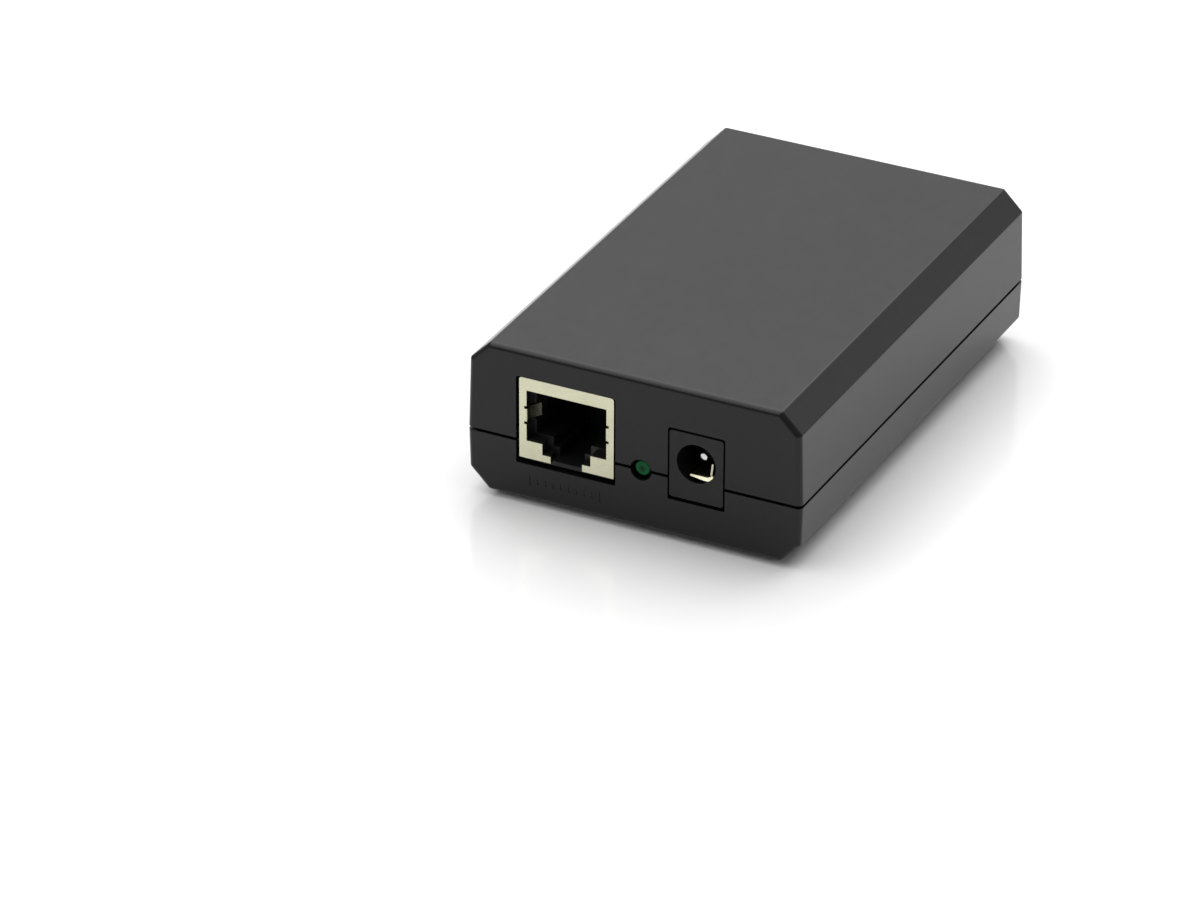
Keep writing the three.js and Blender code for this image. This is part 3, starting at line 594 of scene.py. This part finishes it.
def rounded(corner, before, after, radius, segments=5):
    """The arc that rounds one corner of an outline, as points."""
    corner, before, after = Vector(corner), Vector(before), Vector(after)
    to_before = (before - corner).normalized()
    to_after = (after - corner).normalized()
    half = to_before.angle(to_after) / 2
    tangent = radius / math.tan(half)
    centre = corner + (to_before + to_after).normalized() * (radius / math.sin(half))
    start = corner + to_before * tangent - centre
    end = corner + to_after * tangent - centre
    sweep = start.angle_signed(end)
    return [centre + Matrix.Rotation(-sweep * i / segments, 2) @ start for i in range(segments + 1)]


def case_outline(inset):
    """The case's cross-section in X and Z, moved inwards by a distance, its long edges rounded."""
    high = node_box("top_cover")[1]
    leg = CASE_CHAMFER - inset * (2 - math.sqrt(2))
    bottom = node_box("bottom_cover")[0].z + inset
    top = high.z - inset
    seam = high.x - inset
    below, above = seam - CASE_BOTTOM_DRAFT, seam - CASE_TOP_DRAFT
    right = [
        (below - leg, bottom),
        (below, bottom + leg),
        (seam, SEAM_HEIGHT),
        (above, top - leg),
        (above - leg, top),
    ]
    corners = right + [(-x, z) for x, z in reversed(right)]
    points = []
    for i, corner in enumerate(corners):
        if corner[1] == SEAM_HEIGHT:
            points.append(Vector(corner))
            continue
        following = corners[(i + 1) % len(corners)]
        points += rounded(corner, corners[i - 1], following, CASE_EDGE_RADIUS)
    return points


def rounded_case():
    """The whole case's outside as one fine solid, both ends rounded over."""
    end = node_box("top_cover")[1].y - CASE_SKIN
    steps = 8
    stations = []
    for i in range(steps + 1):
        angle = math.pi / 2 * i / steps
        inset = CASE_END_RADIUS * (1 - math.sin(angle))
        stations.append((end - CASE_END_RADIUS * (1 - math.cos(angle)), inset + CASE_SKIN))
    loops = [[Vector((p.x, y, p.y)) for p in case_outline(inset)] for y, inset in stations]
    front = [[Vector((p.x, -p.y, p.z)) for p in loop] for loop in loops]
    return loops_solid(front + loops[::-1])


def outside_points(node):
    """The points of a cover that lie on the widest part of its outside, in millimetres."""
    points = [v.co / MM for v in frame["nodes"][node].data.vertices]
    widest = max(p.x for p in points)
    return [p for p in points if p.x > widest - 0.05]


def seam_height():
    """The height of the parting line: half way between the two covers' facing edges."""
    lower_edge = max(point.z for point in outside_points("bottom_cover"))
    upper_edge = min(point.z for point in outside_points("top_cover"))
    return (lower_edge + upper_edge) / 2


SEAM_HEIGHT = seam_height()


def light_hole(reach=3):
    """A fine round tool through the front wall, a little below the light's axis."""
    centre = node_centre("status_led")
    front = node_box("bottom_cover")[0].y
    z = centre.z - LIGHT_HOLE_DROP
    return rod(LIGHT_HOLE_RADIUS, (centre.x, front - reach, z), (centre.x, front + reach, z), 96)


def is_cutout_corner(edge):
    """Whether an edge is an inner corner of a socket's cut-out in an end wall."""
    along = edge.verts[0].co - edge.verts[1].co
    middle = (edge.verts[0].co + edge.verts[1].co) / 2
    in_wall = abs(middle.y) > node_box("top_cover")[1].y - 1.5
    return in_wall and abs(along.x) < 0.01 and abs(along.z) < 0.01 and not edge.is_convex


def cover(node, *tools):
    """A cover with a fine skin, rounded cut-outs and a soft edge along the parting line."""
    low, high = node_box(node)
    heights = [point.z for point in outside_points(node)]
    seam_face = min(heights) if node == "top_cover" else max(heights)

    def is_seam_edge(edge):
        ends = [vertex.co for vertex in edge.verts]
        level = all(abs(end.z - seam_face) < 0.02 for end in ends)
        return level and all(abs(end.x) > high.x - 0.6 or abs(end.y) > high.y - 0.6 for end in ends)

    solid = from_cad(node)
    break_edges(solid, CUTOUT_RADIUS, 5, 60, is_cutout_corner)
    solid = cut_from(combined(solid, rounded_case(), "INTERSECT"), *tools)
    break_edges(solid, SEAM_EDGE_RADIUS, 3, 50, is_seam_edge)
    break_edges(solid, 0.07, 2, 55)
    return make_piece(f"{node}_shell", solid, node)


def case_covers():
    cover("top_cover", light_hole())
    tools = [light_hole()]
    for i in range(1, 5):
        foot, screw = node_box(f"rubber_foot_{i}"), node_box(f"case_screw_{i}")
        for (low, high), radius in ((foot, FOOT_SEAT_RADIUS), (screw, COUNTERBORE_RADIUS)):
            centre = (low + high) / 2
            top = high.z + 0.1 if radius == FOOT_SEAT_RADIUS else low.z + COUNTERBORE_RISE
            tools.append(rod(radius, (centre.x, centre.y, -2), (centre.x, centre.y, top)))
    cover("bottom_cover", *tools)


def case_screw(node):
    """A pan-head screw seen from below: domed head, cross recess and a cut thread."""
    low, high = node_box(node)
    centre = (low + high) / 2
    head = (high.x - low.x) / 2
    neck = low.z + SCREW_HEAD_HEIGHT
    profile = [(0, low.z)]
    for a in arc(8, 0.25):
        profile.append((head * math.sin(a), neck - SCREW_HEAD_HEIGHT * math.cos(a) ** SCREW_HEAD_ROUNDNESS))
    profile += [(head, neck), (SCREW_CORE, neck)]
    turns = int((high.z - neck - 1.5) / SCREW_PITCH)
    for i in range(turns):
        z = neck + SCREW_PITCH * (i + 0.5)
        crest, root = z + SCREW_PITCH * 0.45, z + SCREW_PITCH * 0.7
        profile += [(SCREW_CORE, z), (SCREW_THREAD, crest), (SCREW_CORE, root)]
    profile += [(SCREW_CORE, high.z - SCREW_POINT), (0, high.z)]
    solid = lathe(profile, (centre.x, centre.y, 0), (0, 0, 1), 40)
    for x, y in (SCREW_SLOT, SCREW_SLOT[::-1]):
        slot_low = (centre.x - x, centre.y - y, low.z - 1)
        slot_high = (centre.x + x, centre.y + y, low.z + SCREW_SLOT_DEPTH)
        solid = cut_from(solid, block(slot_low, slot_high))
    return make_piece(f"{node}_turned", solid, node)


def rubber_foot(node):
    """A moulded foot with a soft lower edge and a ring groove in its sole."""
    low, high = node_box(node)
    centre = (low + high) / 2
    radius = (high.x - low.x) / 2
    soft = 0.35
    groove = [(2.3, 0), (2.4, 0.12), (2.8, 0.12), (2.9, 0)]
    edge = [(radius - soft + soft * math.sin(a), soft - soft * math.cos(a)) for a in arc(6)]
    profile = [(0, 0), *groove, *edge, (radius, high.z - 0.15), (radius - 0.15, high.z), (0, high.z)]
    return make_piece(f"{node}_moulded", lathe(profile, (centre.x, centre.y, 0), (0, 0, 1)), node)


# ---------------------------------------------------------------- sockets


def is_fold(edge):
    """Whether an edge is a long outer fold of a shield, running into the case."""
    along = edge.verts[0].co - edge.verts[1].co
    return edge.is_convex and abs(along.y) > 15


def network_jack(prefix):
    shield = from_cad(f"{prefix}_shield")
    break_edges(shield, FOLD_RADIUS, 4, 60, is_fold)
    break_edges(shield, 0.035, 2, 40)
    make_piece(f"{prefix}_shield_formed", shield, f"{prefix}_shield")
    housing = break_edges(from_cad(f"{prefix}_housing"), 0.08)
    make_piece(f"{prefix}_housing_moulded", housing, f"{prefix}_housing")
    carrier = f"{prefix}_contact_carrier"
    low, high = node_box(carrier)
    body_low = (low.x - 1, low.y - 1, node_box("circuit_board")[1].z + 0.15)
    split_piece(carrier, body_low, high + Vector((1, 1, 1)), "contact_gold", "tails")
    for i in range(1, 9):
        beam = break_edges(from_cad(f"{prefix}_contact_{i}"), 0.1, 3, 12)
        make_piece(f"{prefix}_contact_{i}_formed", beam, f"{prefix}_contact_{i}", sharp_degrees=50)


def rounded_panel(low, high, radius, y):
    """A rectangle in X and Z with round corners, as the outline of a prism along Y."""
    corners = [(low.x, low.z), (high.x, low.z), (high.x, high.z), (low.x, high.z)]
    points = []
    for i, corner in enumerate(corners):
        points += rounded(corner, corners[i - 1], corners[(i + 1) % 4], radius)
    return [Vector((p.x, y, p.y)) for p in points]


def dc_jack():
    low, high = node_box("dc_jack_housing")
    axis = Vector(((low.x + high.x) / 2, low.y, high.z - DC_AXIS_BELOW_TOP))
    inner_low = low + Vector((DC_SIDE_GAP, 0, DC_LOWER_GAP))
    inner_high = high - Vector((DC_SIDE_GAP, 0, DC_UPPER_GAP))
    panel = [rounded_panel(inner_low, inner_high, CUTOUT_RADIUS, y) for y in (low.y + 0.02, high.y + 1)]
    housing = combined(from_cad("dc_jack_housing"), loops_solid(panel), "INTERSECT")
    bore = rod(DC_BORE, axis - Vector((0, 3, 0)), axis + Vector((0, DC_BORE_DEPTH, 0)), 96)
    housing = break_edges(cut_from(housing, bore), 0.09, 2, 40)
    make_piece("dc_jack_housing_moulded", housing, "dc_jack_housing")

    pin_low, pin_high = node_box("dc_jack_centre_pin")
    length = pin_high.y - pin_low.y
    profile = [*DC_PIN_TIP, (DC_PIN, length), (0, length)]
    tip = Vector((axis.x, pin_low.y, axis.z))
    lug = block((pin_low.x, pin_high.y - 0.3, pin_low.z), pin_high)
    pin = joined(lathe(profile, tip, (0, 1, 0)), break_edges(lug, 0.06))
    make_piece("dc_jack_centre_pin_turned", pin, "dc_jack_centre_pin")

    spring = break_edges(from_cad("dc_jack_sleeve_spring"), 0.16, 4, 9)
    make_piece("dc_jack_sleeve_spring_formed", spring, "dc_jack_sleeve_spring", sharp_degrees=50)


def status_light():
    """The lens, with a shallow dome, a plain barrel and a flange."""
    low, high = node_box("status_led")
    centre = (low + high) / 2
    flange = (high.x - low.x) / 2
    length = high.y - low.y
    dome = [(LED_RADIUS * math.sin(a), LED_DOME * (1 - math.cos(a))) for a in arc(12)]
    profile = [*dome, (LED_RADIUS, length - 1), (flange, length - 1), (flange, length), (0, length)]
    lens = lathe(profile, (centre.x, low.y, centre.z), (0, 1, 0))
    make_piece("status_led_lens", lens, "status_led")


# ---------------------------------------------------------------- board and its components


def can_capacitor(node, can_base=0.1):
    """A sleeved can with a rolled groove, a scored top and two wires."""
    low, high = node_box(node)
    centre = (low + high) / 2
    radius = (high.x - low.x) / 2
    board = node_box("circuit_board")[1].z
    base, top = board + can_base, high.z
    rim = 0.5
    groove = [(radius - 0.35 * math.sin(math.pi * i / 8), base + 1.3 + 0.1 * i) for i in range(9)]
    shoulder = [(radius - rim + rim * math.cos(a), top - rim + rim * math.sin(a)) for a in arc(5)]
    sleeve = [(0, base), (radius - 0.2, base), (radius, base + 0.2), *groove, *shoulder]
    sleeve += [(radius - 1, top), (radius - 1, top - 0.25), (0, top - 0.25)]
    place = (centre.x, centre.y, 0)
    make_piece(f"{node}_sleeve", lathe(sleeve, place, (0, 0, 1)), node)
    disc = rod(radius - 1.02, (centre.x, centre.y, top - 0.3), (centre.x, centre.y, top - 0.08))
    reach = radius * 0.6
    for x, y in ((reach, 0.12), (0.12, reach)):
        score = block((centre.x - x, centre.y - y, top - 0.16), (centre.x + x, centre.y + y, top + 1))
        disc = cut_from(disc, score)
    make_piece(f"{node}_lid", disc, node, "tinned_metal", stands_for_node=False)
    leads = cut_from(from_cad(node), block((low.x - 1, low.y - 1, base), high + Vector((1, 1, 1))))
    make_piece(f"{node}_leads", leads, node, "tinned_metal", stands_for_node=False)


def choke():
    low, high = node_box("choke_core")
    centre = (low + high) / 2
    base = node_box("circuit_board")[1].z + 0.1
    disc = (high.x - low.x) / 2
    wound_low, wound_high = node_box("choke_winding")
    outer = (wound_high.x - wound_low.x) / 2
    lower, upper = wound_low.z - 0.3, wound_high.z + 0.3
    soft = 0.15
    profile = [
        (0, base),
        (disc - soft, base),
        (disc, base + soft),
        (disc, lower - soft),
        (disc - soft, lower),
        (CHOKE_NECK, lower),
        (CHOKE_NECK, upper),
        (disc - soft, upper),
        (disc, upper + soft),
        (disc, high.z - soft),
        (disc - soft, high.z),
        (0, high.z),
    ]
    place = (centre.x, centre.y, 0)
    make_piece("choke_core_pressed", lathe(profile, place, (0, 0, 1)), "choke_core")
    body = block((low.x - 1, low.y - 1, base), high + Vector((1, 1, 1)))
    leads = cut_from(from_cad("choke_core"), body)
    make_piece("choke_core_leads", leads, "choke_core", "tinned_metal", stands_for_node=False)

    turns = int((wound_high.z - wound_low.z) / WIRE)
    pitch = (wound_high.z - wound_low.z) / turns
    inner = CHOKE_NECK + 0.25
    loop = [(inner, wound_high.z), (inner, wound_low.z)]
    half = pitch / 2
    for i in range(turns):
        middle = wound_low.z + (i + 0.5) * pitch
        for step in range(7):
            angle = math.pi * (step / 6 - 0.5)
            loop.append((outer - half + half * math.cos(angle), middle + half * math.sin(angle)))
    rings = []
    for i in range(WINDING_SIDES):
        angle = math.tau * i / WINDING_SIDES
        out = Vector((math.cos(angle), math.sin(angle), 0))
        rings.append([Vector((centre.x, centre.y, z)) + out * r for r, z in loop])
    make_piece("choke_winding_wound", loops_solid(rings, closed=True), "choke_winding", sharp_degrees=50)


def disc_capacitor():
    low, high = node_box("isolation_capacitor")
    radius = (high.x - low.x) / 2
    centre = (low + high) / 2
    axis_z = high.z - radius
    half = (high.y - low.y) / 2
    edge = [(radius - half + half * math.sin(a), half - half * math.cos(a)) for a in arc(8)]
    mirrored = [(r, 2 * half - y) for r, y in reversed(edge)]
    disc = lathe([(0, 0), *edge, *mirrored, (0, 2 * half)], (centre.x, low.y, axis_z), (0, 1, 0))
    make_piece("isolation_capacitor_disc", disc, "isolation_capacitor")
    around = block((low.x - 1, low.y - 1, axis_z - radius + 0.1), high + Vector((1, 1, 1)))
    leads = cut_from(from_cad("isolation_capacitor"), around)
    name = "isolation_capacitor_leads"
    make_piece(name, leads, "isolation_capacitor", "tinned_metal", stands_for_node=False)


def legged_part(node, shares):
    """A component whose body takes up these shares of its box, and whose ends or legs are metal."""
    low, high = node_box(node)
    size = high - low
    (x0, x1), (y0, y1) = shares
    body_low = low + Vector((x0 * size.x - (x0 == 0), y0 * size.y - (y0 == 0), -1))
    body_high = low + Vector((x1 * size.x + (x1 == 1), y1 * size.y + (y1 == 1), size.z + 1))
    split_piece(node, body_low, body_high, "tinned_metal", "metal")


def plain_piece(node, radius=0.05, segments=2):
    """A CAD node with every sharp edge slightly broken."""
    return make_piece(f"{node}_piece", break_edges(from_cad(node), radius, segments), node)


case_covers()
for number in range(1, 5):
    case_screw(f"case_screw_{number}")
    rubber_foot(f"rubber_foot_{number}")
network_jack("front_jack")
network_jack("rear_jack")
dc_jack()
status_light()
for can in ("bulk_capacitor_1", "bulk_capacitor_2", "output_capacitor"):
    can_capacitor(can)
choke()
disc_capacitor()
for part, body_shares in BODY_SHARES.items():
    legged_part(part, body_shares)
for straight in STRAIGHT_NODES:
    plain_piece(straight)


# ---------------------------------------------------------------- stage, lights and camera


def pale_floor():
    """A pale glossy sheet that runs far past the view."""
    tree, shader, coordinates, material = new_material("floor")
    tone = noise(tree, coordinates, 400, detail=2)
    tree.links.new(ramp(tree, tone, (0.82, 0.82, 0.82), (0.84, 0.84, 0.84)), shader.inputs["Base Color"])
    tree.links.new(ranged(tree, noise(tree, coordinates, 60), 0.12, 0.15), shader.inputs["Roughness"])
    bpy.ops.mesh.primitive_plane_add(size=12)
    floor = bpy.context.object
    floor.name = "floor"
    floor.data.materials.append(material)


def softbox(name, place, aim, size, radiance):
    """A rectangular area light, width by height in metres, that faces a point with an even radiance."""
    data = bpy.data.lights.new(name, "AREA")
    data.shape = "RECTANGLE"
    data.size, data.size_y = size
    data.energy = radiance * math.pi * size[0] * size[1]
    light = bpy.data.objects.new(name, data)
    bpy.context.scene.collection.objects.link(light)
    light.location = place
    light.rotation_euler = (Vector(aim) - Vector(place)).to_track_quat("-Z", "Y").to_euler()


def studio_light():
    """A dim room with softboxes overhead and at the front left, and screens behind and at the right."""
    world = bpy.data.worlds.new("studio")
    bpy.context.scene.world = world
    world.use_nodes = True
    background = world.node_tree.nodes["Background"]
    background.inputs["Color"].default_value = (1, 1, 1, 1)
    background.inputs["Strength"].default_value = ROOM_RADIANCE
    for name, place, aim, size, radiance in SOFTBOXES:
        softbox(name, place, aim, size, radiance)
    bpy.context.scene.view_settings.view_transform = "Standard"


def photo_camera():
    azimuth, elevation = math.radians(CAMERA_AZIMUTH), math.radians(CAMERA_ELEVATION)
    back = Vector(
        (
            math.sin(azimuth) * math.cos(elevation),
            -math.cos(azimuth) * math.cos(elevation),
            math.sin(elevation),
        )
    )
    data = bpy.data.cameras.new("camera")
    data.sensor_width = 36
    data.lens = CAMERA_LENS
    data.clip_start = 0.01
    camera = bpy.data.objects.new("camera", data)
    bpy.context.scene.collection.objects.link(camera)
    camera.location = (CAMERA_TARGET + back * CAMERA_DISTANCE) * MM
    turn = back.to_track_quat("Z", "Y").to_matrix() @ Matrix.Rotation(math.radians(CAMERA_ROLL), 3, "Z")
    camera.rotation_euler = turn.to_euler()
    bpy.context.scene.camera = camera


pale_floor()
studio_light()
photo_camera()
